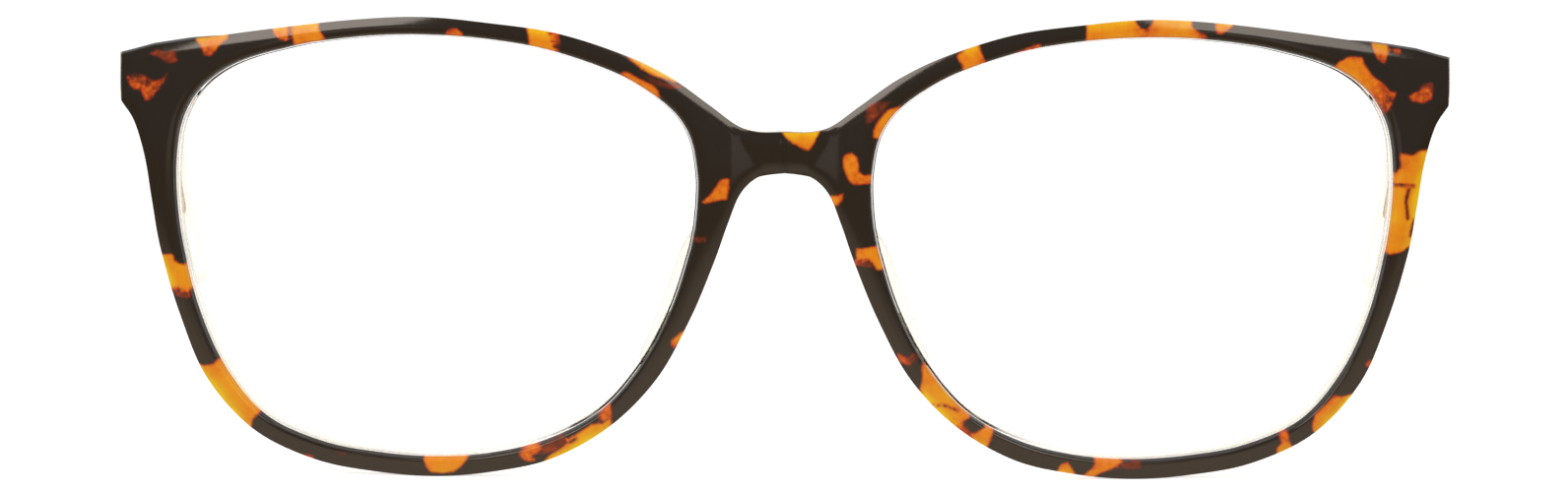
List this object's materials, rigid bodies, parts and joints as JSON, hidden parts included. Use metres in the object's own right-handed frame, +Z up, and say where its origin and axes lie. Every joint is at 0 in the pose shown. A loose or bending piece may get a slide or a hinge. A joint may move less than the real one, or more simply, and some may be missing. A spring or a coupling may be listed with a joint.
{
  "type": "eyeglasses",
  "caption": "Full-rim acetate eyeglasses with clear lenses, fixed nose pads and two folding temples on five-barrel hinges.",
  "frame": {"origin": "on the surface that the glasses stand on, under the middle of their bounding box", "axes": "+X towards the wearer's left, +Y from the front towards the temple tips, +Z up; the front looks along -Y"},
  "size_m": [0.1394, 0.1492, 0.0485],
  "materials": {
    "tortoiseshell_acetate": "polished, dark brown with amber flakes",
    "crystal_acetate": "polished, clear with a faint cream tint",
    "clear_lens": "clear, polished",
    "hinge_metal": "nickel silver, polished",
    "screw_steel": "steel, turned",
    "core_wire_metal": "nickel silver, drawn"
  },
  "bodies": {
    "front": {"front_tortoise_layer": "tortoiseshell_acetate", "front_crystal_layer": "crystal_acetate", "lens_left": "clear_lens", "lens_right": "clear_lens", "nose_pad_left": "crystal_acetate", "nose_pad_right": "crystal_acetate", "front_hinge_left": "hinge_metal", "front_hinge_right": "hinge_metal", "hinge_screw_left": "screw_steel", "hinge_screw_right": "screw_steel"},
    "temple_left": {"temple_outer_left": "tortoiseshell_acetate", "temple_inner_left": "crystal_acetate", "core_wire_left": "core_wire_metal", "temple_hinge_left": "hinge_metal"},
    "temple_right": {"temple_outer_right": "tortoiseshell_acetate", "temple_inner_right": "crystal_acetate", "core_wire_right": "core_wire_metal", "temple_hinge_right": "hinge_metal"}
  },
  "joints": [
    {"name": "fold_left", "type": "hinge", "parent": "front", "child": "temple_left", "pos_m": [0.0645, -0.05961, 0.04128], "axis": [0, 0, 1], "range_deg": [0, 90]},
    {"name": "fold_right", "type": "hinge", "parent": "front", "child": "temple_right", "pos_m": [-0.0645, -0.05961, 0.04128], "axis": [0, 0, -1], "range_deg": [0, 85]}
  ]
}
